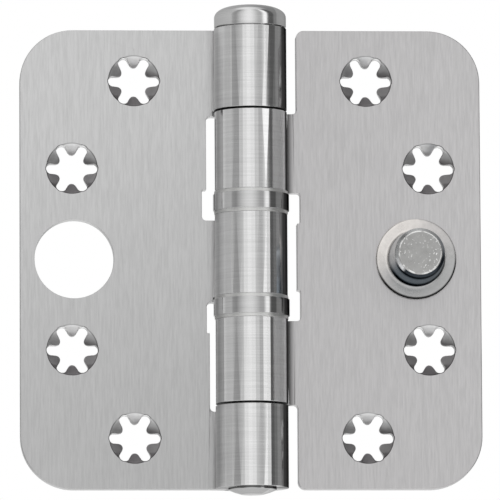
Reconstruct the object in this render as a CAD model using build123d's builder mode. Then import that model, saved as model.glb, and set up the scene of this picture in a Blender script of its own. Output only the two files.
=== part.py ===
from build123d import *
import os
from math import acos, degrees, pi, radians, sin, sqrt

# Bearing butt hinge: two rolled leaves on one pin, two ball bearings and a security stud.
# Millimetres. The pin stands on the Z axis, the leaves lie flat open along X and the hinge
# faces -Y. The origin is on the pin's axis, half way up the leaves.

# Leaves
leaf_height = 89.0
open_width = 89.0
leaf_thickness = 3.0
closed_gap = 3.0
outer_corner_radius = 10.2
inner_corner_radius = 1.5
edge_chamfer = 0.12

# Barrel
pin_diameter = 7.9
pin_clearance = 0.05
knuckle_gap = 0.4
middle_raise = 0.45
bend_radius = 10.0
seam_gap = 0.2

# Slots in the leaves' edges for the other leaf's knuckles, deeper in pockets beside the bearings
door_slot_clearance = 1.95
door_pocket_depth = 0.65
frame_upper_slot_clearance = 1.55
frame_upper_pocket_depth = 0.85
frame_lower_slot_clearance = 1.0
frame_lower_pocket_depth = 0.55
pocket_length = 6.0
slot_corner_radius = 0.8
pocket_corner_chamfer = 0.3
door_neck_setback = 0.05
frame_neck_drop = 0.9
neck_relief = 0.08

# Pin ends
head_diameter = 13.75
head_height = 4.45
crown_height = 2.4
crown_flat_diameter = 3.4
rivet_diameter = 9.3
rivet_flat_diameter = 5.0
rivet_height = 1.2
rivet_rim = 0.3

# Bearings
bearing_height = 4.5
race_overhang = 0.1
race_bore_clearance = 0.2
race_rim_showing = 0.65
sleeve_wall = 0.22
sleeve_clearance = 0.03
ball_diameter = 2.4
ball_spacing = 0.4
ball_clearance = 0.05

# Star screw holes: a countersink crossed by slots, which leave tabs between them
near_screw_side_inset = 22.05
near_screw_end_inset = 9.85
far_screw_side_inset = 10.05
far_screw_rise = 17.6
countersink_diameter = 9.6
countersink_angle = 90
tab_circle_diameter = 5.6
star_length = 10.05
star_slot_width = 2.0
star_slot_count = 3
star_end_chamfer = 0.55

# Security stud on the door leaf and its hole in the frame leaf
stud_inset = 12.6
stud_diameter = 10.1
stud_reach = 10.0
stud_chamfer = 1.0
collar_diameter = 15.5
collar_thickness = 1.0
shank_diameter = 8.0
shank_clearance = 0.03
shank_flare = 0.8
shank_flare_angle = 90
stud_hole_inset = 10.45
stud_hole_diameter = 15.3

# Worked out from the sizes above
half_height = leaf_height / 2
half_width = open_width / 2
leaf_front = closed_gap / 2
leaf_back = leaf_front + leaf_thickness
leaf_middle = leaf_front + leaf_thickness / 2
pin_radius = pin_diameter / 2
bore_radius = pin_radius + pin_clearance
barrel_radius = bore_radius + leaf_thickness
roll_radius = bore_radius + leaf_thickness / 2
front_plane = Plane.XZ.offset(-leaf_front)
back_plane = Plane(origin=(0, leaf_back, 0), x_dir=(1, 0, 0), z_dir=(0, 1, 0))

# The neck is an arc that leaves the flat sheet and meets the roll at a common tangent
centre_distance = bend_radius + roll_radius
bend_angle = degrees(acos((bend_radius + leaf_middle) / centre_distance))
bend_start = centre_distance * sin(radians(bend_angle))
bend_centre = (bend_start, leaf_middle + bend_radius)
neck_front_radius = bend_radius + leaf_thickness / 2
neck_back_radius = bend_radius - leaf_thickness / 2

# The roll goes round the back and the far side and ends square, just short of the leaf's front
seam_radius = neck_front_radius + seam_gap
seam_sides = centre_distance**2 + barrel_radius**2 - seam_radius**2
seam_opening = degrees(acos(seam_sides / (2 * centre_distance * barrel_radius)))
roll_start = 90 - bend_angle
roll_sweep = 360 - seam_opening
roll_plane = Plane.XZ.rotated((0, 0, roll_start))

# Knuckles as (bottom, top) from the top down: the leaves take turns, bearings flank the middle one
gaps_below = [knuckle_gap, bearing_height, bearing_height, knuckle_gap, 0]
even_length = (leaf_height - sum(gaps_below)) / len(gaps_below)
knuckle_lengths = [even_length] * len(gaps_below)
knuckle_lengths[1] -= middle_raise
knuckle_lengths[3] += middle_raise
knuckles = []
knuckle_top = half_height
for length, gap in zip(knuckle_lengths, gaps_below):
    knuckles.append((knuckle_top - length, knuckle_top))
    knuckle_top -= length + gap
frame_top, door_upper, frame_middle, door_lower, frame_bottom = knuckles

# The bearings stand a little proud of the barrel, and the leaves' necks clear them
race_bore = pin_radius + race_bore_clearance
race_radius = barrel_radius + race_overhang
sleeve_bore = race_radius + sleeve_clearance
sleeve_radius = sleeve_bore + sleeve_wall
neck_relief_radius = sleeve_radius + neck_relief

os.makedirs("parts", exist_ok=True)

# Outline of one star hole: crossed slots with narrowed ends, and a round hole between the tabs
with BuildSketch() as star:
    for turn in range(star_slot_count):
        Rectangle(star_length, star_slot_width, rotation=180 * turn / star_slot_count)
    slot_ends = star.vertices().filter_by(lambda v: Vector(v.X, v.Y).length > star_length / 2)
    chamfer(slot_ends, star_end_chamfer)
    Circle(tab_circle_diameter / 2)

near_screw_x = half_width - near_screw_side_inset
near_screw_z = half_height - near_screw_end_inset
far_screw_x = half_width - far_screw_side_inset
screw_places = [
    (near_screw_x, near_screw_z),
    (near_screw_x, -near_screw_z),
    (far_screw_x, far_screw_rise),
    (far_screw_x, -far_screw_rise),
]


def rolled_leaf(own_knuckles, slots):
    """A flat sheet on the +X side, cranked at its neck and rolled into knuckles round the pin.

    Each slot is (bottom, top, clearance, pocket_depth, pockets), with the clearance measured from the
    barrel, and each pocket is (bottom, top).
    """
    with BuildPart() as leaf:
        # Flat sheet with rounded outer corners and chamfered front edges
        with BuildSketch(front_plane) as sheet:
            with Locations((bend_start, -half_height)):
                Rectangle(half_width - bend_start, leaf_height, align=Align.MIN)
            fillet(sheet.vertices().group_by(Axis.X)[-1], outer_corner_radius)
        extrude(amount=-leaf_thickness)
        front = leaf.faces().sort_by(Axis.Y)[0]
        chamfer(front.edges().sort_by(Axis.X)[1:], edge_chamfer)

        # Cranked neck over the whole height
        with BuildSketch(Plane.XY):
            with BuildLine():
                neck_front = CenterArc(bend_centre, neck_front_radius, 270, -bend_angle)
                neck_back = CenterArc(bend_centre, neck_back_radius, 270, -bend_angle)
                Line(neck_front @ 0, neck_back @ 0)
                Line(neck_front @ 1, neck_back @ 1)
            make_face()
        extrude(amount=half_height, both=True)

        # Slots that clear the other leaf's knuckles, with deeper pockets beside the bearings
        for slot_bottom, slot_top, clearance, pocket_depth, pockets in slots:
            slot_edge = barrel_radius + clearance
            with BuildSketch(Plane.XZ) as slot:
                with Locations((0, slot_bottom)):
                    Rectangle(slot_edge, slot_top - slot_bottom, align=Align.MIN)
                for pocket_bottom, pocket_top in pockets:
                    with Locations((0, pocket_bottom)):
                        Rectangle(slot_edge + pocket_depth, pocket_top - pocket_bottom, align=Align.MIN)
                rows = slot.vertices().filter_by(lambda v: v.X > barrel_radius).group_by(Axis.Y)
                for row in rows:
                    if row in (rows[0], rows[-1]) and abs(row[0].Y) < half_height:
                        fillet(row, slot_corner_radius)
                    elif row not in (rows[0], rows[-1]):
                        chamfer(row, pocket_corner_chamfer)
            extrude(amount=leaf_back + barrel_radius, both=True, mode=Mode.SUBTRACT)

        # Round relief between the leaf's own knuckles, where a neck reaches past its knuckle's end
        for upper, lower in zip(own_knuckles, own_knuckles[1:]):
            with BuildSketch(Plane.XY.offset(lower[1])):
                Circle(neck_relief_radius)
            extrude(amount=upper[0] - lower[1], mode=Mode.SUBTRACT)

        # Knuckles, open along the seam
        for knuckle_bottom, knuckle_top in own_knuckles:
            with BuildSketch(roll_plane):
                with Locations((bore_radius, knuckle_bottom)):
                    Rectangle(leaf_thickness, knuckle_top - knuckle_bottom, align=Align.MIN)
            revolve(axis=Axis.Z, revolution_arc=roll_sweep)

        # Star screw holes
        with Locations(front_plane):
            with Locations(*screw_places):
                CounterSinkHole(
                    tab_circle_diameter / 2, countersink_diameter / 2, leaf_thickness, countersink_angle
                )
        with BuildSketch(front_plane):
            with Locations(*screw_places):
                add(star.sketch)
        extrude(amount=-leaf_thickness, mode=Mode.SUBTRACT)
    return leaf.part


# Frame leaf, on the left: its necks sit lower than its knuckles, and each slot has its bearing's pocket
upper_slot = (frame_middle[1] - frame_neck_drop, frame_top[0] - frame_neck_drop)
lower_slot = (frame_bottom[1] - frame_neck_drop, frame_middle[0] - frame_neck_drop)
upper_pocket = (upper_slot[0], upper_slot[0] + pocket_length)
lower_pocket = (lower_slot[1] - pocket_length, lower_slot[1])
frame_slots = [
    (*upper_slot, frame_upper_slot_clearance, frame_upper_pocket_depth, [upper_pocket]),
    (*lower_slot, frame_lower_slot_clearance, frame_lower_pocket_depth, [lower_pocket]),
]
frame_blank = rolled_leaf([frame_top, frame_middle, frame_bottom], frame_slots)
with BuildPart() as frame_leaf:
    mirror(frame_blank, about=Plane.YZ)
    with Locations(front_plane):
        with Locations((stud_hole_inset - half_width, 0)):
            Hole(stud_hole_diameter / 2)
frame_leaf.part.label = "frame_leaf"
export_step(frame_leaf.part, "parts/frame_leaf.step")

# Door leaf, on the right: open slots at both ends and one in the middle with two pockets
top_slot = (door_upper[1] - door_neck_setback, half_height)
middle_slot = (door_lower[1] - door_neck_setback, door_upper[0] + door_neck_setback)
bottom_slot = (-half_height, door_lower[0] + door_neck_setback)
middle_pockets = [
    (middle_slot[0], middle_slot[0] + pocket_length),
    (middle_slot[1] - pocket_length, middle_slot[1]),
]
door_slots = [
    (*top_slot, door_slot_clearance, door_pocket_depth, []),
    (*middle_slot, door_slot_clearance, door_pocket_depth, middle_pockets),
    (*bottom_slot, door_slot_clearance, door_pocket_depth, []),
]
stud_x = half_width - stud_inset
door_blank = rolled_leaf([door_upper, door_lower], door_slots)
with BuildPart() as door_leaf:
    add(door_blank)
    end_faces = door_leaf.faces().filter_by(Axis.Z)
    end_edges = ShapeList(end_faces.sort_by(Axis.Z)[0].edges() + end_faces.sort_by(Axis.Z)[-1].edges())
    fillet(end_edges.filter_by(Axis.Y).group_by(Axis.X)[0], inner_corner_radius)
    with Locations(back_plane):
        with Locations((stud_x, 0)):
            CounterSinkHole(
                shank_diameter / 2, shank_diameter / 2 + shank_flare, leaf_thickness, shank_flare_angle
            )
door_leaf.part.label = "door_leaf"
export_step(door_leaf.part, "parts/door_leaf.step")

# Hinge pin: crowned head on the top knuckle, low riveted end under the bottom one
with BuildPart() as hinge_pin:
    head_radius = head_diameter / 2
    head_top = half_height + head_height
    crown_foot = head_top - crown_height
    crown_flat_radius = crown_flat_diameter / 2
    crown_shoulder = crown_flat_radius + (head_radius - crown_flat_radius) * sqrt(0.5)
    rivet_radius = rivet_diameter / 2
    rivet_end = -half_height - rivet_height
    with BuildSketch(Plane.XZ):
        with BuildLine():
            Polyline(
                (0, head_top),
                (crown_flat_radius, head_top),
                (crown_shoulder, crown_foot + crown_height * sqrt(0.5)),
                (head_radius, crown_foot),
                (head_radius, half_height),
                (pin_radius, half_height),
                (pin_radius, -half_height),
                (rivet_radius, -half_height),
                (rivet_radius, -half_height - rivet_rim),
                (rivet_flat_diameter / 2, rivet_end),
                (0, rivet_end),
                close=True,
            )
        make_face()
    revolve(axis=Axis.Z)
hinge_pin.part.label = "hinge_pin"
export_step(hinge_pin.part, "parts/hinge_pin.step")

# Security stud: collar on the leaf's front, shank through the leaf, end flared flush at the back
with BuildPart() as security_stud:
    stud_radius = stud_diameter / 2
    collar_radius = collar_diameter / 2
    shank_radius = shank_diameter / 2 - shank_clearance
    collar_front = leaf_front - collar_thickness
    stud_tip = collar_front - stud_reach
    with BuildSketch(Plane((stud_x, 0, 0))):
        with BuildLine():
            Polyline(
                (0, leaf_back),
                (shank_radius + shank_flare, leaf_back),
                (shank_radius, leaf_back - shank_flare),
                (shank_radius, leaf_front),
                (collar_radius, leaf_front),
                (collar_radius, collar_front),
                (stud_radius, collar_front),
                (stud_radius, stud_tip + stud_chamfer),
                (stud_radius - stud_chamfer, stud_tip),
                (0, stud_tip),
                close=True,
            )
        make_face()
    revolve(axis=Axis((stud_x, 0, 0), (0, 1, 0)))
security_stud.part.label = "security_stud"
export_step(security_stud.part, "parts/security_stud.step")

# Bearings: two washers as races, a thin sleeve round both, and a full ring of balls between them
race_thickness = (bearing_height - ball_diameter) / 2 - ball_clearance
sleeve_height = bearing_height - 2 * race_rim_showing
pitch_radius = (race_bore + race_radius) / 2
ball_count = int(2 * pi * pitch_radius / (ball_diameter + ball_spacing))
bearing_seats = {"upper": frame_middle[1], "lower": door_lower[1]}

for bearing, seat in bearing_seats.items():
    middle = seat + bearing_height / 2

    with BuildPart() as lower_race:
        with BuildSketch(Plane.XY.offset(seat)):
            Circle(race_radius)
            Circle(race_bore, mode=Mode.SUBTRACT)
        extrude(amount=race_thickness)

    with BuildPart() as upper_race:
        mirror(lower_race.part, about=Plane.XY.offset(middle))

    with BuildPart() as sleeve:
        with BuildSketch(Plane.XY.offset(middle)):
            Circle(sleeve_radius)
            Circle(sleeve_bore, mode=Mode.SUBTRACT)
        extrude(amount=sleeve_height / 2, both=True)

    pieces = {"lower_race": lower_race, "upper_race": upper_race, "sleeve": sleeve}

    # Each ball is kept light: a cube with its edges cut until every face is as far from the middle
    for number, place in enumerate(PolarLocations(pitch_radius, ball_count), start=1):
        with BuildPart() as ball:
            with Locations(Location((0, 0, middle)) * place):
                Box(ball_diameter, ball_diameter, ball_diameter)
            chamfer(ball.edges(), ball_diameter * (1 - sqrt(0.5)))
        pieces[f"ball_{number}"] = ball

    for piece_name, piece in pieces.items():
        piece.part.label = f"{bearing}_bearing_{piece_name}"
        export_step(piece.part, f"parts/{piece.part.label}.step")
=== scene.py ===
import bmesh
import bpy
import numpy as np
from math import pi, radians
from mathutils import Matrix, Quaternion, Vector
from mathutils.geometry import delaunay_2d_cdt


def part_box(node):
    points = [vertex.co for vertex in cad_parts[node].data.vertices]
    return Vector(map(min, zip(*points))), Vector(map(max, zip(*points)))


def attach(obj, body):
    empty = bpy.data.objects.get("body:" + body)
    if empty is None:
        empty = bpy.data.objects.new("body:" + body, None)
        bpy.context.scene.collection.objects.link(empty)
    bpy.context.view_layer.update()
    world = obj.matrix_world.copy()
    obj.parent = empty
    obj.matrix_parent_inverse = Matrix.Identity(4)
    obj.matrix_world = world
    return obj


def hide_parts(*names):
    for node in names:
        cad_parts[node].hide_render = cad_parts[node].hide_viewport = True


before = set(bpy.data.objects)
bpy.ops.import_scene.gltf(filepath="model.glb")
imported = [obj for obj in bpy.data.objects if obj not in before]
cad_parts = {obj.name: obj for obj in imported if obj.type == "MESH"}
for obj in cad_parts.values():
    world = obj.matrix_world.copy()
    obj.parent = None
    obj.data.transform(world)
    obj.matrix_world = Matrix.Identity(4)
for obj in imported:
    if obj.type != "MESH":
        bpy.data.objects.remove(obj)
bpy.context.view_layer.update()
MM = 0.001

# Leaves and barrel, in millimetres
LEAF_FRONT = 1.5
LEAF_THICKNESS = 3.0
LEAF_BACK = LEAF_FRONT + LEAF_THICKNESS
BARREL_RADIUS = 7.0
HALF_HEIGHT = 44.5

# Star holes, in millimetres. Their length and countersink differ a little from the solids', to fit the
# photo. STAR_RING is the radius of the flat ring that is made with each hole
STAR_PLACES = [(22.45, 34.65), (22.45, -34.65), (34.45, 17.6), (34.45, -17.6)]
STAR_LENGTH = 9.97
STAR_SLOT_WIDTH = 2.0
TAB_CIRCLE = 5.6
COUNTERSINK = 9.95
TAB_ROUNDING = 0.74
ARM_END_ROUNDING = 0.93
EDGE_ROUNDING = 0.05
STAR_RING = 6.2

# Slots beside the barrel, in millimetres: the rounding of an end's corner and those of a step's inner and
# outer corner, then the upper left corners (x, z) of slots that end in a fillet, and the fillet's sizes
SLOT_CORNER = 0.6
STEP_CORNERS = (0.36, 0.18)
CORNER_SEGMENTS = 5
SLOT_ENDS = {"frame_leaf": [(-8.55, 27.76), (-8.55, -8.37)]}
END_FILLET = 0.85
FILLET_OVERLAP = 0.2
FILLET_PROUD = 0.002

# Pin, in millimetres. Its riveted end is given as (radius, depth below the barrel, rounding)
PIN_RADIUS = 3.95
HEAD_RADIUS = 6.95
HEAD_TOP = 48.95
CROWN_HEIGHT = 2.4
CROWN_FLAT = 1.7
CROWN_POWER = 2.3
HEAD_SLIT = 0.22
SLIT_DEPTH = 1.0
RIVETED_END = [(4.65, 0, 0.05), (4.65, 0.35, 0.12), (3.4, 0.85, 0.6), (2.2, 1.2, 0.6), (0, 1.2, 0)]

# Stud, in millimetres. Half of its section is given from the back, as (radius, place along Y, rounding)
STUD_X = 31.9
STUD_WAIST = -4.5
STUD_FACE = 4.1
STUD_SECTION = [
    (0, 4.5, 0), (4.77, 4.5, 0.05), (3.97, 3.7, 0.1), (3.97, 1.5, 0.1), (7.75, 1.5, 0.08),
    (7.75, 0.5, 0.3), (5.4, 0.5, 0.5), (4.8, -8.6, 0.3), (STUD_FACE, -9.5, 0.18), (0, -9.5, 0),
]

# Bearing rings, in millimetres: inner and outer radius, and the rounding of their rims
RACE_RADII = (4.15, 7.1)
RACE_ROUNDING = 0.12
SLEEVE_RADII = (7.13, 7.345)
SLEEVE_ROUNDING = 0.06
BORE_ROUNDING = 0.05

# Nearness of points that merge, in metres, and of a point to the level it lies on, in millimetres
MERGE = 1e-7
ON_LEVEL = 0.001


# Surfaces

def mesh_of(name, points, faces):
    """A smooth mesh from an array of points in millimetres and an array of quads."""
    mesh = bpy.data.meshes.new(name)
    mesh.vertices.add(len(points))
    mesh.vertices.foreach_set("co", (points * MM).astype(np.float32).ravel())
    corners = faces.ravel().astype(np.int32)
    mesh.loops.add(len(corners))
    mesh.loops.foreach_set("vertex_index", corners)
    mesh.polygons.add(len(faces))
    mesh.polygons.foreach_set("loop_start", np.arange(0, len(corners), 4, dtype=np.int32))
    mesh.polygons.foreach_set("use_smooth", np.ones(len(faces), dtype=bool))
    mesh.update(calc_edges=True)
    mesh.validate()
    return mesh


def piece_of(mesh, *materials):
    """An object at the origin that shows the mesh in these materials."""
    mesh.materials.clear()
    for material in materials:
        mesh.materials.append(material)
    piece = bpy.data.objects.new(mesh.name, mesh)
    bpy.context.scene.collection.objects.link(piece)
    return piece


def dress(piece, body, slot, *nodes):
    """Rides the piece on its body and hides the solids that it stands for. The slot is not used."""
    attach(piece, body)
    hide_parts(*nodes)


def merge_and_face_out(mesh):
    """Merges the points that poles and seams share, and turns every face outwards."""
    work = bmesh.new()
    work.from_mesh(mesh)
    bmesh.ops.remove_doubles(work, verts=work.verts, dist=MERGE)
    bmesh.ops.dissolve_degenerate(work, edges=work.edges, dist=MERGE / 10)
    bmesh.ops.recalc_face_normals(work, faces=work.faces)
    work.to_mesh(mesh)
    work.free()


def grid_quads(rows, columns, closed_rows=False):
    """Quads of a grid of points, row by row, whose columns close in a ring."""
    row = np.arange(rows if closed_rows else rows - 1)[:, None]
    column = np.arange(columns)[None]
    next_row, next_column = (row + 1) % rows, (column + 1) % columns
    corners = [(row, column), (row, next_column), (next_row, next_column), (next_row, column)]
    return np.stack([r * columns + c for r, c in corners], axis=-1).reshape(-1, 4)


# A guard point's distance from its arc: a share of the rounding, at most a share of the straight beside it
GUARD_REACH = 0.6
GUARD_LIMIT = 0.4


def rounded_outline(corners, steps=6, closed=True):
    """Corner points (across, up, rounding) as a smooth outline.

    Each corner becomes an arc of its own rounding that is tangent to both of its sides, with a guard point
    on each side so that shading stays level between arcs. An open outline keeps its two end points.
    """
    places = np.array([corner[:2] for corner in corners], float)
    roundings = [corner[2] for corner in corners]
    count = len(places)
    outline = []
    for index, rounding in enumerate(roundings):
        here = places[index]
        if not closed and index in (0, count - 1):
            outline.append(here[None])
            continue
        before = places[index - 1] - here
        after = places[(index + 1) % count] - here
        sides = np.linalg.norm(before), np.linalg.norm(after)
        before, after = before / sides[0], after / sides[1]
        half = np.arccos(np.clip(before @ after, -1, 1)) / 2
        reach = rounding / np.tan(half)
        bisector = before + after
        centre = here + bisector / np.linalg.norm(bisector) * rounding / np.sin(half)
        start, end = here + before * reach, here + after * reach
        turn = np.linspace(0, 1, steps + 1)[:, None]
        sweep = pi - 2 * half
        spokes = np.sin((1 - turn) * sweep) * (start - centre) + np.sin(turn * sweep) * (end - centre)
        arc = centre + spokes / np.sin(sweep)
        spare = [max(GUARD_LIMIT * (side / 2 - reach), 0) for side in sides]
        first = start + before * min(GUARD_REACH * rounding, spare[0])
        last = end + after * min(GUARD_REACH * rounding, spare[1])
        outline += [first[None], arc, last[None]]
    return np.concatenate(outline)


def turned(name, outline, material, closed=True, turns=144, centre=(0, 0), along_y=False):
    """An outline of (radius, height) carried round an axis: x = r cos a, y = r sin a, z = height.

    along_y lays the axis along Y through (x, z) = centre, with the height measured along Y.
    """
    angle = np.linspace(0, 2 * pi, turns, endpoint=False)
    radius, height = outline[:, 0], outline[:, 1]
    across = np.outer(radius, np.cos(angle)) + centre[0]
    aside = np.outer(radius, np.sin(angle)) + centre[1]
    level = np.repeat(height[:, None], turns, axis=1)
    order = [across, level, aside] if along_y else [across, aside, level]
    mesh = mesh_of(name, np.stack(order, axis=-1).reshape(-1, 3), grid_quads(len(outline), turns, closed))
    merge_and_face_out(mesh)
    return piece_of(mesh, material)


# Nodes

def new_material(name):
    """An empty node material with its tree and output."""
    material = bpy.data.materials.new(name)
    material.use_nodes = True
    tree = material.node_tree
    tree.nodes.clear()
    output = tree.nodes.new("ShaderNodeOutputMaterial")
    return material, tree, output


def grey(level):
    """A colour whose three channels are the same."""
    return (level, level, level)


def math_node(tree, operation, *values):
    """A Math node whose inputs are sockets or plain numbers."""
    node = tree.nodes.new("ShaderNodeMath")
    node.operation = operation
    for socket, value in zip(node.inputs, values):
        if isinstance(value, (int, float)):
            socket.default_value = value
        else:
            tree.links.new(value, socket)
    return node.outputs[0]


def map_node(tree, value, low, high, to_low, to_high):
    """A smooth step of a value from one range to another."""
    node = tree.nodes.new("ShaderNodeMapRange")
    node.interpolation_type = "SMOOTHSTEP"
    for socket, number in zip(list(node.inputs)[1:5], (low, high, to_low, to_high)):
        socket.default_value = number
    tree.links.new(value, node.inputs["Value"])
    return node.outputs["Result"]


def rising(tree, value, low, high):
    """A mask that goes from 0 to 1 between two values."""
    return map_node(tree, value, low, high, 0, 1)


def falling(tree, value, low, high):
    """A mask that goes from 1 to 0 between two values."""
    return map_node(tree, value, low, high, 1, 0)


def past(tree, length, low, high):
    """A mask of a length in metres that goes from 0 to 1 between two lengths in millimetres."""
    return rising(tree, length, low * MM, high * MM)


def short_of(tree, length, low, high):
    """A mask of a length in metres that goes from 1 to 0 between two lengths in millimetres."""
    return falling(tree, length, low * MM, high * MM)


def both(tree, *masks):
    """The product of masks, which is 1 where all of them are."""
    product = masks[0]
    for mask in masks[1:]:
        product = math_node(tree, "MULTIPLY", product, mask)
    return product


def tint_node(tree, factor, first, second, blend="MIX"):
    """A colour Mix node. Its two colours are sockets or plain colours."""
    node = tree.nodes.new("ShaderNodeMix")
    node.data_type = "RGBA"
    node.blend_type = blend
    factor_socket, first_socket, second_socket = node.inputs[0], node.inputs[6], node.inputs[7]
    for socket, value in ((factor_socket, factor), (first_socket, first), (second_socket, second)):
        if isinstance(value, bpy.types.NodeSocket):
            tree.links.new(value, socket)
        elif isinstance(value, (int, float)):
            socket.default_value = value
        else:
            socket.default_value = (*value, 1)
    return node.outputs[2]


def noise_node(tree, place, scale, detail, roughness=0.6):
    """A Noise Texture's value at a place."""
    noise = tree.nodes.new("ShaderNodeTexNoise")
    noise.inputs["Scale"].default_value = scale
    noise.inputs["Detail"].default_value = detail
    noise.inputs["Roughness"].default_value = roughness
    tree.links.new(place, noise.inputs["Vector"])
    return noise.outputs["Fac"]


def place_node(tree):
    """The sockets X, Y and Z of a point's place on its piece, in metres."""
    place = tree.nodes.new("ShaderNodeTexCoord")
    split = tree.nodes.new("ShaderNodeSeparateXYZ")
    tree.links.new(place.outputs["Object"], split.inputs[0])
    return split.outputs


def group_node(tree, group):
    """A node that places a shared group in a material."""
    node = tree.nodes.new("ShaderNodeGroup")
    node.node_tree = group
    return node


# Shared node groups

def drawn_lines_group():
    """Fine lines drawn along one direction: noise stretched by Lines, in cycles per metre on each axis.

    Two layers, one fine and one broad, are blended, so single scratches stand out of an even grain.
    """
    group = bpy.data.node_groups.new("drawn_lines", "ShaderNodeTree")
    group.interface.new_socket("Lines", in_out="INPUT", socket_type="NodeSocketVector")
    group.interface.new_socket("Broad Share", in_out="INPUT", socket_type="NodeSocketFloat")
    group.interface.new_socket("Height", in_out="OUTPUT", socket_type="NodeSocketFloat")
    group.interface.new_socket("Tone", in_out="OUTPUT", socket_type="NodeSocketFloat")
    inside = group.nodes.new("NodeGroupInput")
    outside = group.nodes.new("NodeGroupOutput")
    place = group.nodes.new("ShaderNodeTexCoord")
    stretched = group.nodes.new("ShaderNodeVectorMath")
    stretched.operation = "MULTIPLY"
    group.links.new(place.outputs["Object"], stretched.inputs[0])
    group.links.new(inside.outputs["Lines"], stretched.inputs[1])
    fine = noise_node(group, stretched.outputs[0], scale=1.0, detail=3.0)
    broad = noise_node(group, stretched.outputs[0], scale=0.16, detail=2.0)
    blend = group.nodes.new("ShaderNodeMix")
    group.links.new(inside.outputs["Broad Share"], blend.inputs["Factor"])
    group.links.new(fine, blend.inputs["A"])
    group.links.new(broad, blend.inputs["B"])
    group.links.new(fine, outside.inputs["Height"])
    group.links.new(blend.outputs["Result"], outside.inputs["Tone"])
    return group


def barrel_place_group():
    """Where a point lies round the pin.

    Radius is in metres. Turn is in degrees from the front, with the right positive.
    """
    group = bpy.data.node_groups.new("barrel_place", "ShaderNodeTree")
    group.interface.new_socket("Radius", in_out="OUTPUT", socket_type="NodeSocketFloat")
    group.interface.new_socket("Turn", in_out="OUTPUT", socket_type="NodeSocketFloat")
    outside = group.nodes.new("NodeGroupOutput")
    place = place_node(group)
    across, ahead = place["X"], math_node(group, "MULTIPLY", place["Y"], -1.0)
    squares = math_node(group, "MULTIPLY_ADD", across, across, math_node(group, "MULTIPLY", ahead, ahead))
    group.links.new(math_node(group, "SQRT", squares), outside.inputs["Radius"])
    turn = math_node(group, "DEGREES", math_node(group, "ARCTAN2", across, ahead))
    group.links.new(turn, outside.inputs["Turn"])
    return group


def star_place_group():
    """Where a point lies from the middle of its star hole: Right and Up, in metres."""
    group = bpy.data.node_groups.new("star_place", "ShaderNodeTree")
    group.interface.new_socket("Right", in_out="OUTPUT", socket_type="NodeSocketFloat")
    group.interface.new_socket("Up", in_out="OUTPUT", socket_type="NodeSocketFloat")
    outside = group.nodes.new("NodeGroupOutput")
    place = place_node(group)
    near, far = STAR_PLACES[0], STAR_PLACES[2]
    half_way = (near[0] + far[0]) / 2 * MM
    is_far = math_node(group, "GREATER_THAN", math_node(group, "ABSOLUTE", place["X"]), half_way)
    for axis, name, first, second in (("X", "Right", near[0], far[0]), ("Z", "Up", near[1], far[1])):
        middle = math_node(group, "MULTIPLY_ADD", is_far, (second - first) * MM, first * MM)
        off = math_node(group, "SUBTRACT", math_node(group, "ABSOLUTE", place[axis]), middle)
        signed = math_node(group, "MULTIPLY", off, math_node(group, "SIGN", place[axis]))
        group.links.new(signed, outside.inputs[name])
    return group


DRAWN_LINES = drawn_lines_group()
STAR_PLACE = star_place_group()
BARREL_PLACE = barrel_place_group()


# Finishes

# Drawn lines, in cycles per metre along X, Y and Z
LEAF_LINES = (3000, 3000, 260)
BARREL_LINES = (120, 120, 3600)
RACE_LINES = (900, 900, 3000)
EVEN_LINES = (900, 900, 900)
STUD_LINES = (800, 800, 800)

# The lines' depth, in millimetres, and the noise values of their darkest and lightest tone
LINE_DEPTH = 0.02
GRAIN_RANGE = (0.2, 0.8)

# The barrel's band of painted light at the left, its half width and the end of its band of painted shade at
# the right, in degrees
LIGHT_BAND = -56
LIGHT_HALF_WIDTH = (4, 12)
DARK_BAND_END = (88, 102)


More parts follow.
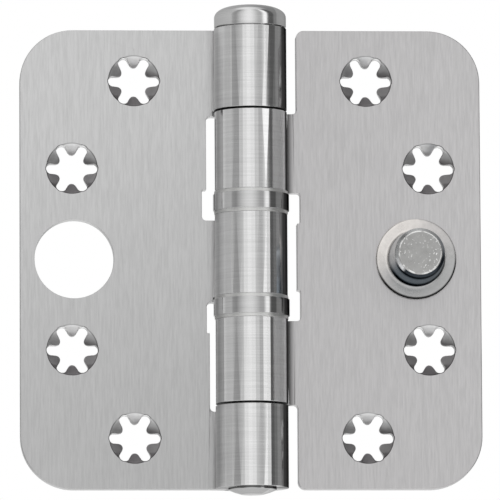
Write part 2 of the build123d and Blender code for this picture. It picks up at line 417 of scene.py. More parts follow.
class DrawnMetal:
    """Metal with drawn lines, which shift its tone, its roughness and its surface."""

    def __init__(self, name, tone, spread, roughness, rough_spread, lines, bump, broad=0.4):
        self.material, self.tree, output = new_material(name)
        self.shader = self.tree.nodes.new("ShaderNodeBsdfPrincipled")
        self.shader.inputs["Metallic"].default_value = 1.0
        self.tree.links.new(self.shader.outputs[0], output.inputs["Surface"])
        self.drawn = group_node(self.tree, DRAWN_LINES)
        self.drawn.inputs["Lines"].default_value = lines
        self.drawn.inputs["Broad Share"].default_value = broad
        grain = self.drawn.outputs["Tone"]
        dark, light = ([channel * (1 + side * spread) for channel in tone] for side in (-1, 1))
        self.colour = tint_node(self.tree, rising(self.tree, grain, *GRAIN_RANGE), dark, light)
        smoothest, roughest = roughness - rough_spread, roughness + rough_spread
        self.rough = map_node(self.tree, grain, *GRAIN_RANGE, smoothest, roughest)
        relief = self.tree.nodes.new("ShaderNodeBump")
        relief.inputs["Strength"].default_value = bump
        relief.inputs["Distance"].default_value = LINE_DEPTH * MM
        self.tree.links.new(self.drawn.outputs["Height"], relief.inputs["Height"])
        self.tree.links.new(relief.outputs["Normal"], self.shader.inputs["Normal"])
        self.grazing = grey(1)
        self.join()

    def join(self):
        """Links the last colour and roughness to the shader."""
        self.tree.links.new(self.colour, self.shader.inputs["Base Color"])
        self.tree.links.new(self.rough, self.shader.inputs["Roughness"])

    def shade(self, mask, colour):
        """Multiplies the colour by another one where the mask is 1."""
        self.colour = tint_node(self.tree, mask, self.colour, colour, "MULTIPLY")
        self.join()

    def darken(self, mask, colour):
        """Shades the colour, and the reflections at a grazing angle as well, where the mask is 1."""
        self.shade(mask, colour)
        self.grazing = tint_node(self.tree, mask, self.grazing, colour, "MULTIPLY")
        self.tree.links.new(self.grazing, self.shader.inputs["Specular Tint"])

    def cover(self, mask, colour):
        """Replaces the colour where the mask is 1."""
        self.colour = tint_node(self.tree, mask, self.colour, colour)
        self.join()

    def dull(self, mask, roughness):
        """Brings the roughness to another one where the mask is 1."""
        blend = self.tree.nodes.new("ShaderNodeMix")
        self.tree.links.new(mask, blend.inputs["Factor"])
        self.tree.links.new(self.rough, blend.inputs["A"])
        blend.inputs["B"].default_value = roughness
        self.rough = blend.outputs["Result"]
        self.join()


def leaf_finish(name, tone, crease_painted_shade, foot_painted_shade):
    """Sheet brushed up and down, with painted shade in the crease at the barrel.

    Painted shade also makes it a little darker towards the barrel and towards its foot.
    """
    metal = DrawnMetal(
        name, tone, spread=0.13, roughness=0.36, rough_spread=0.06, lines=LEAF_LINES, bump=0.35, broad=0.12
    )
    tree = metal.tree
    radius = group_node(tree, BARREL_PLACE).outputs["Radius"]
    crease = short_of(tree, radius, 7.1, 8.8)
    inner_part = short_of(tree, radius, 8, 45)
    foot = short_of(tree, place_node(tree)["Z"], -44, 44)
    # Painted shade: darker in the crease at the barrel, and a little darker towards the barrel and the foot
    metal.darken(crease, crease_painted_shade)
    metal.shade(inner_part, grey(0.96))
    metal.shade(foot, foot_painted_shade)
    return metal.material


def star_finish():
    """Smooth pressed tabs and hole walls, with painted light and shade.

    Painted light makes the top tab lighter. Painted shade makes the lower ones and the upper right one's end
    darker, and draws a dark line at the rim.
    """
    metal = DrawnMetal(
        "star_pressed", grey(0.60), spread=0.10, roughness=0.38, rough_spread=0.06, lines=EVEN_LINES,
        bump=0.2,
    )
    tree = metal.tree
    offset = group_node(tree, STAR_PLACE).outputs
    depth = place_node(tree)["Y"]
    tab = short_of(tree, depth, LEAF_FRONT + 2.2, LEAF_FRONT + 2.4)
    rim = short_of(tree, depth, LEAF_FRONT + 0.1, LEAF_FRONT + 0.25)
    bottom = short_of(tree, offset["Up"], -3.1, -2.5)
    low_half = short_of(tree, offset["Up"], -0.4, 0.2)
    top = past(tree, offset["Up"], 2.7, 4.0)
    right = past(tree, offset["Right"], 0.8, 1.5)
    upper_half = past(tree, offset["Up"], 0, 0.6)
    lean = math_node(tree, "MULTIPLY_ADD", offset["Right"], 0.35, offset["Up"])
    below_lean = short_of(tree, lean, 2.2, 3.7)
    # Painted shade on the lower tabs and the upper right one's end, and painted light on the top tab
    metal.shade(both(tree, tab, bottom), (0.56, 0.55, 0.555))
    metal.shade(both(tree, tab, low_half), (0.70, 0.68, 0.69))
    metal.shade(both(tree, tab, top), grey(1.5))
    metal.shade(both(tree, tab, below_lean, right, upper_half), (0.45, 0.44, 0.445))
    # Painted shade in a dark line along the rim
    metal.darken(rim, grey(0.5))
    return metal.material


def round_metal(name, tone, roughness, left_painted_light, edge_turns, edge_painted_shade):
    """Metal polished round the barrel, with a band of painted light at the far left.

    A band of painted shade, standing in for a dark reflection, sets in at the right between the two turns
    given.
    """
    metal = DrawnMetal(
        name, tone, spread=0.10, roughness=roughness, rough_spread=roughness / 3, lines=BARREL_LINES,
        bump=0.10,
    )
    tree = metal.tree
    turn = group_node(tree, BARREL_PLACE).outputs["Turn"]
    # Painted light in a band at the far left
    from_left = math_node(tree, "ABSOLUTE", math_node(tree, "SUBTRACT", turn, LIGHT_BAND))
    metal.shade(falling(tree, from_left, *LIGHT_HALF_WIDTH), left_painted_light)
    # Painted shade in a band at the right, standing in for a dark reflection
    edge = both(tree, rising(tree, turn, *edge_turns), falling(tree, turn, *DARK_BAND_END))
    metal.darken(edge, edge_painted_shade)
    return metal, turn


def knuckle_finish(name, edge_turns, edge_painted_shade, dull_turns, roll_end_painted_light):
    """Knuckles polished round the barrel, with painted shade on the end face at their foot.

    The end of the roll, past the turns given, is duller, and its colour is multiplied by a factor of painted
    light.
    """
    metal, turn = round_metal(
        name, grey(0.72), roughness=0.11, left_painted_light=grey(1.2), edge_turns=edge_turns,
        edge_painted_shade=edge_painted_shade,
    )
    tree = metal.tree
    roll_end = rising(tree, turn, *dull_turns)
    metal.dull(roll_end, 0.40)
    # Painted light on the end of the roll
    metal.shade(roll_end, roll_end_painted_light)
    # Painted shade on the end face at the foot, which faces the floor
    foot = short_of(tree, place_node(tree)["Z"], -HALF_HEIGHT + 0.01, -HALF_HEIGHT + 0.05)
    metal.darken(foot, grey(0.66))
    return metal.material


def pin_finish():
    """The pin's head, with painted light at the right and painted shade on top, and its riveted end, with
    painted shade on its end and a painted shadow in a band at the top of its wall.
    """
    metal, turn = round_metal(
        "pin_turned", grey(0.70), roughness=0.12, left_painted_light=grey(1.0), edge_turns=(60, 75),
        edge_painted_shade=grey(0.9),
    )
    tree = metal.tree
    level = place_node(tree)["Z"]
    radius = group_node(tree, BARREL_PLACE).outputs["Radius"]
    right = rising(tree, turn, 42, 46)
    end = short_of(tree, level, -HALF_HEIGHT - 0.1, -HALF_HEIGHT)
    head_top = past(tree, level, HEAD_TOP - 0.45, HEAD_TOP - 0.2)
    end_wall = past(tree, radius, 4.3, 4.5)
    groove_painted_shadow = past(tree, level, -HALF_HEIGHT - 0.22, -HALF_HEIGHT - 0.16)
    # Painted light at the right, painted shade on the head's top and the riveted end, and a painted shadow
    # in the groove
    metal.shade(right, grey(1.4))
    metal.darken(end, grey(0.68))
    metal.darken(head_top, grey(0.5))
    metal.darken(both(tree, end, end_wall, groove_painted_shadow), grey(0.30))
    return metal.material


def zinc_finish():
    """Zinc plate: a light, warm collar and a bluish flank, with painted light and shade on both.

    The collar has a painted highlight at the upper left, painted shade at the lower right and a painted
    shadow along its lower rim. The flank is darker as painted shade, most on its lower side and near its
    ends, and its bevel has a painted light patch at the upper left and a painted glint at the lower left.
    The end is mottled, with a painted highlight in patches along its rim, and bright specks.
    """
    metal = DrawnMetal(
        "stud_zinc", (0.62, 0.60, 0.59), spread=0.22, roughness=0.30, rough_spread=0.10, lines=STUD_LINES,
        bump=0.6, broad=0.5,
    )
    tree = metal.tree
    across, ahead, up = place_node(tree).values()
    across = math_node(tree, "SUBTRACT", across, STUD_X * MM)
    squares = math_node(tree, "MULTIPLY_ADD", across, across, math_node(tree, "MULTIPLY", up, up))
    radius = math_node(tree, "SQRT", squares)
    place = tree.nodes.new("ShaderNodeTexCoord").outputs["Object"]
    smallest_radius = 0.1 * MM

    def towards(right, top, low, high):
        """A mask by the cosine between a point's bearing from the stud's axis and the bearing given."""
        along = math_node(tree, "MULTIPLY_ADD", across, right, math_node(tree, "MULTIPLY", up, top))
        cosine = math_node(tree, "DIVIDE", along, math_node(tree, "MAXIMUM", radius, smallest_radius))
        return rising(tree, cosine, low, high)

    collar = past(tree, ahead, 0.1, 0.4)
    proud = short_of(tree, ahead, 0.1, 0.4)
    flank = both(tree, proud, past(tree, radius, 4.2, 4.3))
    bevel = both(tree, flank, past(tree, ahead, -8.2, -8.7))
    face = both(tree, proud, short_of(tree, radius, STUD_FACE, STUD_FACE + 0.1))
    low = towards(0.2, -0.98, -0.05, 0.5)
    collar_edge = past(tree, radius, 7.3, 7.6)
    from_waist = math_node(tree, "ABSOLUTE", math_node(tree, "SUBTRACT", ahead, STUD_WAIST * MM))
    flank_ends = past(tree, from_waist, 1.2, 3.6)
    from_rim = math_node(tree, "ABSOLUTE", math_node(tree, "SUBTRACT", radius, STUD_FACE * MM))
    rim = short_of(tree, from_rim, 0.1, 0.2)
    specks = rising(tree, noise_node(tree, place, scale=2300, detail=1.0), 0.64, 0.70)
    outwards = map_node(tree, radius, 0.5 * MM, 3.5 * MM, 0.2, 1)
    rim_highlight_patches = map_node(tree, noise_node(tree, place, scale=700, detail=2.0), 0.38, 0.55, 0.1, 1)
    # Painted light and shade on the collar: a highlight at the upper left, shade at the lower right and a
    # shadow along its lower rim
    metal.shade(both(tree, collar, towards(0.45, -0.9, -0.7, 0.8)), (0.76, 0.79, 0.80))
    metal.shade(both(tree, collar, towards(-0.75, 0.66, 0.2, 0.9)), (1.28, 1.27, 1.24))
    metal.darken(both(tree, low, collar_edge), grey(0.06))
    # A bluish tint on the flank, partly painted shade, with more painted shade on its lower side and near
    # its ends
    metal.shade(flank, (0.70, 0.76, 0.82))
    metal.darken(both(tree, flank, low), (0.58, 0.62, 0.65))
    metal.darken(both(tree, flank, low, flank_ends), (0.18, 0.19, 0.20))
    # A painted light patch and a painted glint on the bevel
    metal.cover(both(tree, bevel, towards(-0.5, 0.87, -0.1, 0.5)), (0.62, 0.63, 0.63))
    metal.cover(both(tree, bevel, towards(-0.87, -0.5, 0.93, 0.99)), (0.95, 0.96, 0.97))
    metal.shade(face, (0.63, 0.65, 0.65))
    metal.cover(both(tree, face, specks, outwards), (0.92, 0.92, 0.91))
    # A painted highlight in patches along the rim
    metal.cover(both(tree, proud, rim, rim_highlight_patches), (0.9, 0.9, 0.89))
    return metal.material


frame_leaf_finish = leaf_finish(
    "frame_leaf_brushed", grey(0.638), crease_painted_shade=grey(1.0), foot_painted_shade=grey(0.82)
)
door_leaf_finish = leaf_finish(
    "door_leaf_brushed", (0.588, 0.580, 0.583), crease_painted_shade=grey(0.15), foot_painted_shade=grey(0.99)
)
frame_knuckle_finish = knuckle_finish(
    "frame_knuckle_polished", edge_turns=(50, 59), edge_painted_shade=grey(0.22), dull_turns=(-34, -39),
    roll_end_painted_light=grey(1.0),
)
door_knuckle_finish = knuckle_finish(
    "door_knuckle_polished", edge_turns=(64, 71), edge_painted_shade=grey(0.18), dull_turns=(31, 36),
    roll_end_painted_light=grey(1.35),
)
sleeve_finish = round_metal(
    "sleeve_polished", grey(0.60), roughness=0.06, left_painted_light=grey(1.45), edge_turns=(50, 59),
    edge_painted_shade=grey(0.20),
)[0].material
head_finish = pin_finish()
star_hole_finish = star_finish()
# Painted shade: the knuckles' cut ends are near black, standing in for the shade in the gaps between
# knuckles
cut_end_painted_shade = DrawnMetal(
    "cut_end_dark", grey(0.06), spread=0.3, roughness=0.5, rough_spread=0.1, lines=EVEN_LINES, bump=0.3
).material
race_finish = DrawnMetal(
    "race_matt", (0.73, 0.73, 0.72), spread=0.08, roughness=0.38, rough_spread=0.06, lines=RACE_LINES,
    bump=0.2,
).material
ball_finish = DrawnMetal(
    "ball_polished", (0.68, 0.68, 0.69), spread=0.03, roughness=0.10, rough_spread=0.03, lines=EVEN_LINES,
    bump=0.05,
).material
stud_finish = zinc_finish()


# Leaves

# How near to a star's middle a face has to be, past the arms' ends, to be dropped or to be the hole's own
DROP_MARGIN = 0.3
STAR_MARGIN = 0.15

# Limits that tell faces apart: how squarely a flat faces front or back, how little a slot's wall leans, and
# how far from the middle, in millimetres, it lies
IN_FLAT = 0.9999
UPRIGHT = 0.001
WALL_FROM_MIDDLE = 5

# Slots' corners: the least turn between two walls, in radians, and how level a step's two corners are
SQUARE_TURN = 1.5
SAME_HEIGHT = 0.01

# Edges: their bevel in millimetres, and the folds in degrees from which they are bevelled and not smoothed
EDGE_BEVEL = 0.07
BEVEL_FOLD = 40
CREASE_FOLD = 32


def star_outline():
    """The star hole's outline: six arms with round ends, and round-ended tabs between them.

    An arm's sides stand half a slot's width off its axis, from the circle through the tabs' ends to its tip.
    """
    half = STAR_SLOT_WIDTH / 2
    inner = np.sqrt((TAB_CIRCLE / 2) ** 2 - half**2)
    arm = [(inner, -half, TAB_ROUNDING), (STAR_LENGTH / 2, -half, ARM_END_ROUNDING)]
    arm += [(along, -aside, rounding) for along, aside, rounding in reversed(arm)]
    corners = []
    for turn in radians(60) * np.arange(6):
        cosine, sine = np.cos(turn), np.sin(turn)
        corners += [(a * cosine - b * sine, a * sine + b * cosine, r) for a, b, r in arm]
    outline = rounded_outline(corners)
    steps = np.linspace(0, 1, 3, endpoint=False)[None, :, None]
    onward = np.roll(outline, -1, axis=0)
    return (outline[:, None] * (1 - steps) + onward[:, None] * steps).reshape(-1, 2)


def unit(rows):
    """Each row divided by its length."""
    return rows / np.linalg.norm(rows, axis=-1, keepdims=True)


def soft_corner(before, corner, after):
    """Three points of a small arc in place of a corner: a quadratic curve from one side to the other."""
    start = corner + EDGE_ROUNDING * unit(before - corner)
    end = corner + EDGE_ROUNDING * unit(after - corner)
    return [start, (start + 2 * corner + end) / 4, end]


def between(first, second, *shares):
    """Points on the way from one to another, at shares of it."""
    return [(1 - share) * first + share * second for share in shares]


def star_patch(outline, place):
    """A star hole as a sheet of rays.

    On each ray u of an outline point r u lie, from the outside in, the leaf's front, the countersink with
    depth = rim - radius, the wall at r and the leaf's back.
    """
    reach = np.linalg.norm(outline, axis=1)
    ray = outline / reach[:, None]
    mouth = np.maximum(COUNTERSINK / 2, reach + 2 * EDGE_ROUNDING)
    level = np.zeros_like(reach)

    def ring(radius, depth):
        return np.stack([radius + level, depth + level], axis=-1)

    front, rim, lip = ring(STAR_RING, 0), ring(mouth, 0), ring(reach, mouth - reach)
    foot, back = ring(reach, LEAF_THICKNESS), ring(STAR_RING, LEAF_THICKNESS)
    rows = [front, ring(mouth + 3 * EDGE_ROUNDING, 0)]
    rows += soft_corner(front, rim, lip) + between(rim, lip, 0.3, 0.7)
    rows += soft_corner(rim, lip, foot) + between(lip, foot, 0.3, 0.8)
    rows += soft_corner(lip, foot, back) + [ring(reach + 3 * EDGE_ROUNDING, LEAF_THICKNESS), back]
    grid = np.stack(rows)
    radius, depth = grid[..., 0], grid[..., 1]
    points = np.stack(
        [place[0] + radius * ray[:, 0], LEAF_FRONT + depth, place[1] + radius * ray[:, 1]], axis=-1
    )
    return mesh_of("star_patch", points.reshape(-1, 3), grid_quads(len(rows), len(outline)))


def fill_flat(work, level):
    """Fills the open edges at one level along Y with triangles.

    The triangles join all the edges' points. One is kept where a line from its middle towards +X crosses
    the edges an odd number of times, which leaves the holes open.
    """
    rim = [
        edge for edge in work.edges
        if edge.is_boundary and all(abs(point.co.y / MM - level) < ON_LEVEL for point in edge.verts)
    ]
    points = list(dict.fromkeys(point for edge in rim for point in edge.verts))
    number = {point: index for index, point in enumerate(points)}
    pairs = np.array([[number[point] for point in edge.verts] for edge in rim])
    flat = np.array([(point.co.x, point.co.z) for point in points]) / MM
    filled = delaunay_2d_cdt([Vector(place) for place in flat], pairs.tolist(), [], 0, 1e-5)
    source = np.array([origins[0] for origins in filled[3]])
    triangles = source[np.array(filled[2])]
    middle = flat[triangles].mean(axis=1)[:, None]
    first, second = flat[pairs[:, 0]][None], flat[pairs[:, 1]][None]
    spans = (first[..., 1] > middle[..., 1]) != (second[..., 1] > middle[..., 1])
    rise = np.where(spans, second[..., 1] - first[..., 1], 1)
    crossing = first[..., 0] + (middle[..., 1] - first[..., 1]) / rise * (second[..., 0] - first[..., 0])
    inside = (spans & (crossing > middle[..., 0])).sum(axis=1) % 2 == 1
    for triangle in triangles[inside]:
        work.faces.new([points[index] for index in triangle])


def round_slots(work):
    """Rounds the upright edges where the slots beside the barrel turn.

    A slot's end has one corner. Where a slot steps to another width it has an inner and an outer one.
    """
    def is_wall(face):
        return abs(face.normal.y) < UPRIGHT and abs(face.calc_center_median().x) > WALL_FROM_MIDDLE * MM

    def wall_edges():
        return [
            edge for edge in work.edges
            if len(edge.link_faces) == 2 and all(map(is_wall, edge.link_faces))
        ]

    level = [edge for edge in wall_edges() if edge.calc_face_angle() < UPRIGHT]
    bmesh.ops.dissolve_edges(work, edges=level, use_verts=False)
    corners = [
        edge for edge in wall_edges()
        if edge.calc_face_angle() > SQUARE_TURN
        and abs(edge.verts[0].co.y - edge.verts[1].co.y) > (LEAF_THICKNESS - 0.1) * MM
    ]
    heights = np.array([edge.verts[0].co.z for edge in corners]) / MM
    at_step = (abs(heights[:, None] - heights[None]) < SAME_HEIGHT).sum(axis=1) > 1
    inward = np.array([edge.calc_face_angle_signed() < 0 for edge in corners])
    roundings = np.where(at_step, np.where(inward, *STEP_CORNERS), SLOT_CORNER)
    for rounding in np.unique(roundings):
        edges = [edge for edge, own in zip(corners, roundings) if own == rounding]
        bmesh.ops.bevel(
            work, geom=edges, offset=rounding * MM, offset_type="OFFSET", segments=CORNER_SEGMENTS,
            profile=0.5, affect="EDGES", clamp_overlap=False,
        )


def slot_fillet(corner):
    """A fillet in a slot's upper left corner (x, z): a section carried along an arc of END_FILLET.

    At the angle t the section runs from the arc to the walls, at x + r max(0, 1 - tan t) and
    z - r max(0, 1 - cot t), and on into the leaf by FILLET_OVERLAP sin 2t, so that it closes at both ends.
    """
    turn = np.linspace(0, pi / 2, 13)
    reach = 1 - np.stack([np.sin(turn), np.cos(turn)], axis=-1)
    slope = np.tan(np.clip(turn, 1e-6, pi / 2 - 1e-6))
    walls = np.maximum(0, 1 - np.stack([slope, 1 / slope], axis=-1))
    inward = FILLET_OVERLAP * np.sin(2 * turn)[:, None]
    arc = np.array(corner) + END_FILLET * reach * (1, -1)
    outside = np.array(corner) + (END_FILLET * walls - inward) * (1, -1)
    front, back = LEAF_FRONT - FILLET_PROUD, LEAF_BACK + FILLET_PROUD
    section = [
        np.stack([side[:, 0], np.full(len(turn), level), side[:, 1]], axis=-1)
        for side, level in ((outside, front), (arc, front), (arc, back), (outside, back))
    ]
    points = np.stack(section, axis=1).reshape(-1, 3)
    mesh = mesh_of("slot_fillet", points, grid_quads(len(turn), len(section)))
    merge_and_face_out(mesh)
    return mesh


def take_in(work, mesh):
    """Adds a mesh to the one that is worked on, and removes it."""
    work.from_mesh(mesh)
    bpy.data.meshes.remove(mesh)


def face_rows(mesh, key):
    """A value of three numbers of every face, as rows."""
    rows = np.empty(len(mesh.polygons) * 3, np.float32)
    mesh.polygons.foreach_get(key, rows)
    return rows.reshape(-1, 3)


def from_nearest(middles, places):
    """Each middle's distance, seen from the front, from the nearest of the places (x, z)."""
    return np.min([np.hypot(middles[:, 0] - x, middles[:, 2] - z) for x, z in places], axis=0)


def leaf_mesh(node, name, places):
    """A merged copy of the leaf's solid, with new flats round star holes whose tabs and arms are rounded.

    The flats are filled again between the solid's own edges and the rings round the new star holes.
    """
    work = bmesh.new()
    work.from_mesh(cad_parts[node].data)
    bmesh.ops.remove_doubles(work, verts=work.verts, dist=MERGE)
    middles = np.array([face.calc_center_median() for face in work.faces]) / MM
    facing = np.array([face.normal.y for face in work.faces])
    in_front = (facing < -IN_FLAT) & (abs(middles[:, 1] - LEAF_FRONT) < ON_LEVEL)
    at_back = (facing > IN_FLAT) & (abs(middles[:, 1] - LEAF_BACK) < ON_LEVEL)
    at_star = from_nearest(middles, places) < STAR_LENGTH / 2 + DROP_MARGIN
    dropped = in_front | at_back | at_star
    bmesh.ops.delete(work, geom=[face for face, drop in zip(work.faces, dropped) if drop], context="FACES")
    round_slots(work)
    outline = star_outline()
    for place in places:
        take_in(work, star_patch(outline, place))
    for level in (LEAF_FRONT, LEAF_BACK):
        fill_flat(work, level)
    for corner in SLOT_ENDS.get(node, []):
        take_in(work, slot_fillet(corner))
    bmesh.ops.recalc_face_normals(work, faces=work.faces)
    mesh = bpy.data.meshes.new(name)
    work.to_mesh(mesh)
    work.free()
    return mesh


def leaf_piece(node, name, side, body, sheet_finish, roll_finish):
    """A leaf in four finishes: the sheet, the rolled knuckles, their cut ends, near black as painted shade
    in the gaps, and the star holes.
    """
    places = [(side * across, up) for across, up in STAR_PLACES]
    mesh = leaf_mesh(node, name, places)
    mesh.shade_smooth()
    mesh.set_sharp_from_angle(angle=radians(CREASE_FOLD))
    piece = piece_of(mesh, sheet_finish, roll_finish, cut_end_painted_shade, star_hole_finish)
    middles = face_rows(mesh, "center") / MM
    facing = face_rows(mesh, "normal")
    mesh.polygons.foreach_set("use_smooth", abs(facing[:, 1]) < IN_FLAT)
    in_barrel = np.hypot(middles[:, 0], middles[:, 1]) < BARREL_RADIUS + 0.02
    is_cut_end = in_barrel & (abs(facing[:, 2]) > 0.9) & (abs(middles[:, 2]) < HALF_HEIGHT - 0.1)
    at_star = from_nearest(middles, places) < STAR_LENGTH / 2 + STAR_MARGIN
    in_star = at_star & (abs(facing[:, 1]) < 0.95)
    mesh.polygons.foreach_set("material_index", in_barrel.astype(np.int32) + is_cut_end + 3 * in_star)
    edges = piece.modifiers.new("edge_round", "BEVEL")
    edges.width = EDGE_BEVEL * MM
    edges.segments = 2
    edges.limit_method = "ANGLE"
    edges.angle_limit = radians(BEVEL_FOLD)
    edges.use_clamp_overlap = False
    level = piece.modifiers.new("level_flats", "WEIGHTED_NORMAL")
    level.weight = 90
    level.keep_sharp = True
    dress(piece, body, "leaf_steel", node)


leaf_piece("frame_leaf", "frame_leaf_brushed", -1, "frame_side", frame_leaf_finish, frame_knuckle_finish)
leaf_piece("door_leaf", "door_leaf_brushed", 1, "door_side", door_leaf_finish, door_knuckle_finish)


# Pin, stud and bearings

def pin_outline():
    """Half of the pin's section. A slit parts the head from the barrel.

    The head's crown is a quarter of a superellipse, of the power CROWN_POWER in both directions.
    """
    turn = np.linspace(0, pi / 2, 24, endpoint=False)
    across, fall = np.sin(turn) ** (2 / CROWN_POWER), 1 - np.cos(turn) ** (2 / CROWN_POWER)
    crown_width = HEAD_RADIUS - CROWN_FLAT
    crown = np.stack([CROWN_FLAT + crown_width * across, HEAD_TOP - CROWN_HEIGHT * fall], axis=-1)
    slit_radius = HEAD_RADIUS - SLIT_DEPTH
    head_foot = HALF_HEIGHT + HEAD_SLIT
    head = [
        (HEAD_RADIUS, HEAD_TOP - CROWN_HEIGHT, 0), (HEAD_RADIUS, head_foot, 0.12),
        (slit_radius, head_foot, 0.05), (slit_radius, HALF_HEIGHT, 0.05),
    ]
    shank = [(PIN_RADIUS, HALF_HEIGHT, 0.1), (PIN_RADIUS, -HALF_HEIGHT, 0.1)]
    end = [(radius, -HALF_HEIGHT - depth, rounding) for radius, depth, rounding in RIVETED_END]
    return np.concatenate([[(0, HEAD_TOP)], crown, rounded_outline(head + shank + end, closed=False)])


pin = turned("pin_turned", pin_outline(), head_finish, closed=False)
dress(pin, "frame_side", "pin_steel", "hinge_pin")

stud_outline = rounded_outline(STUD_SECTION, closed=False)
stud = turned("stud_turned", stud_outline, stud_finish, closed=False, centre=(STUD_X, 0), along_y=True)
dress(stud, "door_side", "stud_zinc", "security_stud")

RACE_BODIES = {
    "upper_bearing_lower_race": "frame_side",
    "upper_bearing_upper_race": "door_side",
    "lower_bearing_lower_race": "door_side",
    "lower_bearing_upper_race": "frame_side",
}
SLEEVE_BODIES = {"upper_bearing_sleeve": "frame_side", "lower_bearing_sleeve": "door_side"}


def ring_piece(node, body, radii, rounding, material, slot):
    """A flat ring as high as its solid, with rounded rims."""
    low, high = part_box(node)
    bottom, top = low.z / MM, high.z / MM
    inner, outer = radii
    corners = [
        (inner, bottom, BORE_ROUNDING), (outer, bottom, rounding), (outer, top, rounding),
        (inner, top, BORE_ROUNDING),
    ]
    piece = turned(node + "_ring", rounded_outline(corners, steps=4), material)
    dress(piece, body, slot, node)


for node, body in RACE_BODIES.items():
    ring_piece(node, body, RACE_RADII, RACE_ROUNDING, race_finish, "race_steel")
for node, body in SLEEVE_BODIES.items():
    ring_piece(node, body, SLEEVE_RADII, SLEEVE_ROUNDING, sleeve_finish, "sleeve_steel")


def ball_ring(bearing, body):
    """True balls in place of the few-faced solids: a unit globe times the radius, on each solid's middle."""
    nodes = [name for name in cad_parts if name.startswith(f"{bearing}_bearing_ball_")]
    boxes = [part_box(name) for name in nodes]
    middles = np.array([(low + high) / 2 for low, high in boxes]) / MM
    radius = np.median([(high.z - low.z) / 2 for low, high in boxes]) / MM
    columns, rows = 24, 13
    turn = np.linspace(0, 2 * pi, columns, endpoint=False)
    fall = np.linspace(0, pi, rows)
    across, aside = np.outer(np.sin(fall), np.cos(turn)), np.outer(np.sin(fall), np.sin(turn))
    level = np.repeat(np.cos(fall)[:, None], columns, axis=1)
    globe = np.stack([across, aside, level], axis=-1)
    points = middles[:, None] + radius * globe.reshape(1, -1, 3)
    faces = grid_quads(rows, columns)[None] + (np.arange(len(middles)) * rows * columns)[:, None, None]
    mesh = mesh_of(f"{bearing}_balls", points.reshape(-1, 3), faces.reshape(-1, 4))
    merge_and_face_out(mesh)
    dress(piece_of(mesh, ball_finish), body, "ball_steel", *nodes)


ball_ring("upper", "upper_balls")
ball_ring("lower", "lower_balls")


# Floor, light and camera

# Floor, in millimetres
FLOOR_LEVEL = -220
FLOOR_RADIUS = 360
FLOOR_SIDES = 96

# The studio's walls, as (azimuth in degrees, brightness): 0 is straight in front, right is positive
STUDIO_WALLS = [
    (-180, 0.45), (-150, 0.50), (-125, 0.55), (-66, 0.62), (-61, 0.42), (-49, 0.36), (-40, 0.56),
    (-30, 0.78), (-20, 0.96), (-10, 1.05), (-2, 1.05), (6, 0.94), (15, 0.75), (24, 0.56), (34, 0.55),
    (39, 0.95), (43, 1.30), (51, 1.30), (56, 0.30), (60, 0.12), (76, 0.12), (80, 0.26), (110, 0.30),
    (165, 0.30), (180, 0.45),
]

# Sines of the heights where the walls become a vault and where the backdrop ends, and the azimuth in
# degrees, on either side, from which the backdrop stands
VAULT_FOOT = (0.85, 0.99)
BACKDROP_TOP = (0.10, 0.16)
BACKDROP_TURN = 165

# Camera: its aim in millimetres, the way to it, its distance and field in metres, and its roll in degrees
CAMERA_AIM = (-0.15, LEAF_FRONT, 1.75)
CAMERA_WAY = (-0.058, -1.0, -0.123)
CAMERA_DISTANCE = 1.5
CAMERA_FIELD = 0.09638
CAMERA_ROLL = -0.32


def seen_rays(tree):
    """The Light Path node, and a value that is 1 for rays from the camera, a reflection or through glass."""
    path = tree.nodes.new("ShaderNodeLightPath")
    seen = math_node(tree, "ADD", path.outputs["Is Camera Ray"], path.outputs["Is Glossy Ray"])
    return path, math_node(tree, "ADD", seen, path.outputs["Is Transmission Ray"])


def pale_floor():
    """A round floor below the hinge, white to the camera and to reflections, and pale to other light."""
    turn = np.linspace(0, 2 * pi, FLOOR_SIDES, endpoint=False)
    across, aside = FLOOR_RADIUS * np.cos(turn), FLOOR_RADIUS * np.sin(turn)
    ring = np.stack([across, aside, np.full(FLOOR_SIDES, FLOOR_LEVEL)], axis=-1)
    mesh = mesh_of("floor", np.concatenate([ring * (0, 0, 1), ring]), grid_quads(2, FLOOR_SIDES))
    merge_and_face_out(mesh)
    material, tree, output = new_material("floor_pale")
    paint = tree.nodes.new("ShaderNodeBsdfDiffuse")
    paint.inputs["Color"].default_value = (*grey(0.8), 1)
    glow = tree.nodes.new("ShaderNodeEmission")
    glow.inputs["Strength"].default_value = 1.0
    blend = tree.nodes.new("ShaderNodeMixShader")
    tree.links.new(seen_rays(tree)[1], blend.inputs[0])
    tree.links.new(paint.outputs[0], blend.inputs[1])
    tree.links.new(glow.outputs[0], blend.inputs[2])
    tree.links.new(blend.outputs[0], output.inputs["Surface"])
    piece_of(mesh, material)


def ramp_node(tree, stops, factor):
    """A colour ramp through grey stops, given as (place from 0 to 1, brightness)."""
    ramp = tree.nodes.new("ShaderNodeValToRGB")
    elements = ramp.color_ramp.elements
    for stop in stops[1:-1]:
        elements.new(stop[0])
    for element, (place, brightness) in zip(elements, stops):
        element.position = place
        element.color = (*grey(brightness), 1)
    tree.links.new(factor, ramp.inputs[0])
    return ramp.outputs["Color"]


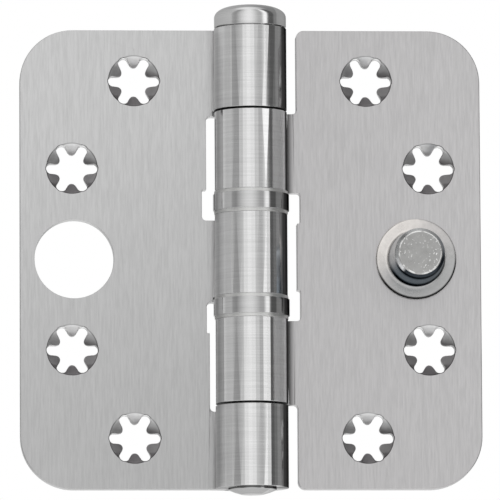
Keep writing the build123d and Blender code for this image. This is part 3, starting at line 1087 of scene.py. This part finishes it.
def studio_world():
    """A soft studio: grey walls that curve over the hinge as a vault, and a white backdrop behind it.

    The camera sees white everywhere, and reflections see it where the backdrop stands.
    """
    world = bpy.data.worlds.new("studio")
    bpy.context.scene.world = world
    world.use_nodes = True
    tree = world.node_tree
    tree.nodes.clear()
    output = tree.nodes.new("ShaderNodeOutputWorld")
    place = tree.nodes.new("ShaderNodeTexCoord")
    split = tree.nodes.new("ShaderNodeSeparateXYZ")
    tree.links.new(place.outputs["Generated"], split.inputs[0])
    ahead = math_node(tree, "MULTIPLY", split.outputs["Y"], -1.0)
    azimuth = math_node(tree, "DEGREES", math_node(tree, "ARCTAN2", split.outputs["X"], ahead))
    lean = math_node(tree, "DEGREES", math_node(tree, "ARCSINE", split.outputs["X"]))
    stops = [(degree / 360 + 0.5, brightness) for degree, brightness in STUDIO_WALLS]
    walls, vault = (
        ramp_node(tree, stops, math_node(tree, "MULTIPLY_ADD", angle, 1 / 360, 0.5))
        for angle in (azimuth, lean)
    )
    above = rising(tree, split.outputs["Z"], *VAULT_FOOT)
    studio = tree.nodes.new("ShaderNodeBackground")
    tree.links.new(tint_node(tree, above, walls, vault), studio.inputs["Color"])
    white = tree.nodes.new("ShaderNodeBackground")
    white.inputs["Color"].default_value = (1, 1, 1, 1)
    path, seen = seen_rays(tree)
    backdrop = math_node(tree, "GREATER_THAN", math_node(tree, "ABSOLUTE", azimuth), BACKDROP_TURN)
    below = falling(tree, split.outputs["Z"], *BACKDROP_TOP)
    shown = both(tree, seen, backdrop, below)
    blend = tree.nodes.new("ShaderNodeMixShader")
    tree.links.new(math_node(tree, "MAXIMUM", path.outputs["Is Camera Ray"], shown), blend.inputs[0])
    tree.links.new(studio.outputs[0], blend.inputs[1])
    tree.links.new(white.outputs[0], blend.inputs[2])
    tree.links.new(blend.outputs[0], output.inputs["Surface"])


def photo_camera():
    """A long lens, from a little below and to the left, aimed near the middle of the leaves."""
    aim = Vector(CAMERA_AIM) * MM
    away = Vector(CAMERA_WAY).normalized() * CAMERA_DISTANCE
    lens = bpy.data.cameras.new("photo_camera")
    lens.sensor_width = 36.0
    lens.lens = lens.sensor_width * away.length / CAMERA_FIELD
    lens.clip_start = 0.05
    camera = bpy.data.objects.new("photo_camera", lens)
    camera.location = aim + away
    facing = (-away).to_track_quat("-Z", "Y") @ Quaternion((0, 0, 1), radians(CAMERA_ROLL))
    camera.rotation_euler = facing.to_euler()
    bpy.context.scene.collection.objects.link(camera)
    bpy.context.scene.camera = camera


pale_floor()
studio_world()
photo_camera()
bpy.context.scene.view_settings.view_transform = "Standard"
